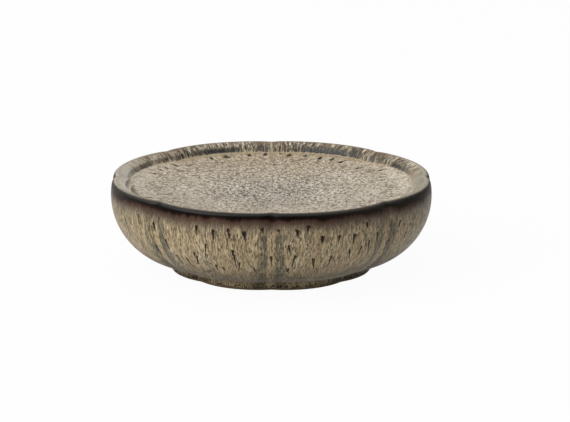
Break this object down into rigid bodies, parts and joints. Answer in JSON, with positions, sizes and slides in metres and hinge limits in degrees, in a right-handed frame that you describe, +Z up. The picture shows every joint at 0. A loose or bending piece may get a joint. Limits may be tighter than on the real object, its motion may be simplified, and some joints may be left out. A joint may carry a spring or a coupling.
{
  "type": "soy sauce dish",
  "caption": "Small round lobed stoneware dish on a foot ring, with a shallow glazed well that holds soy sauce or a dip.",
  "frame": {"origin": "middle of the foot, on the table", "axes": "+Z up along the axis of the dish, -Y towards the viewer through the groove between two lobes"},
  "size_m": [0.0982, 0.0982, 0.0282],
  "materials": {
    "stoneware": "matte fired clay, covered by glaze",
    "bare_foot": "matte bare stoneware, ground flat",
    "foot_glaze": "satin dark olive glaze that pooled at the foot",
    "outer_glaze": "glossy oat and olive glaze with fine running streaks and iron spots",
    "rim_glaze": "glossy dark iron-brown glaze where the coat ran thin",
    "lip_glaze": "glossy cream glaze, streaked brown and blue-grey",
    "well_glaze": "satin oat glaze with fine dark speckles",
    "recess_glaze": "satin oat glaze"
  },
  "bodies": {
    "root": {"stoneware_body": "stoneware", "foot_ring": "bare_foot", "foot_glaze": "foot_glaze", "outer_glaze": "outer_glaze", "rim_glaze": "rim_glaze", "lip_glaze": "lip_glaze", "well_glaze": "well_glaze", "recess_glaze": "recess_glaze"}
  },
  "joints": []
}
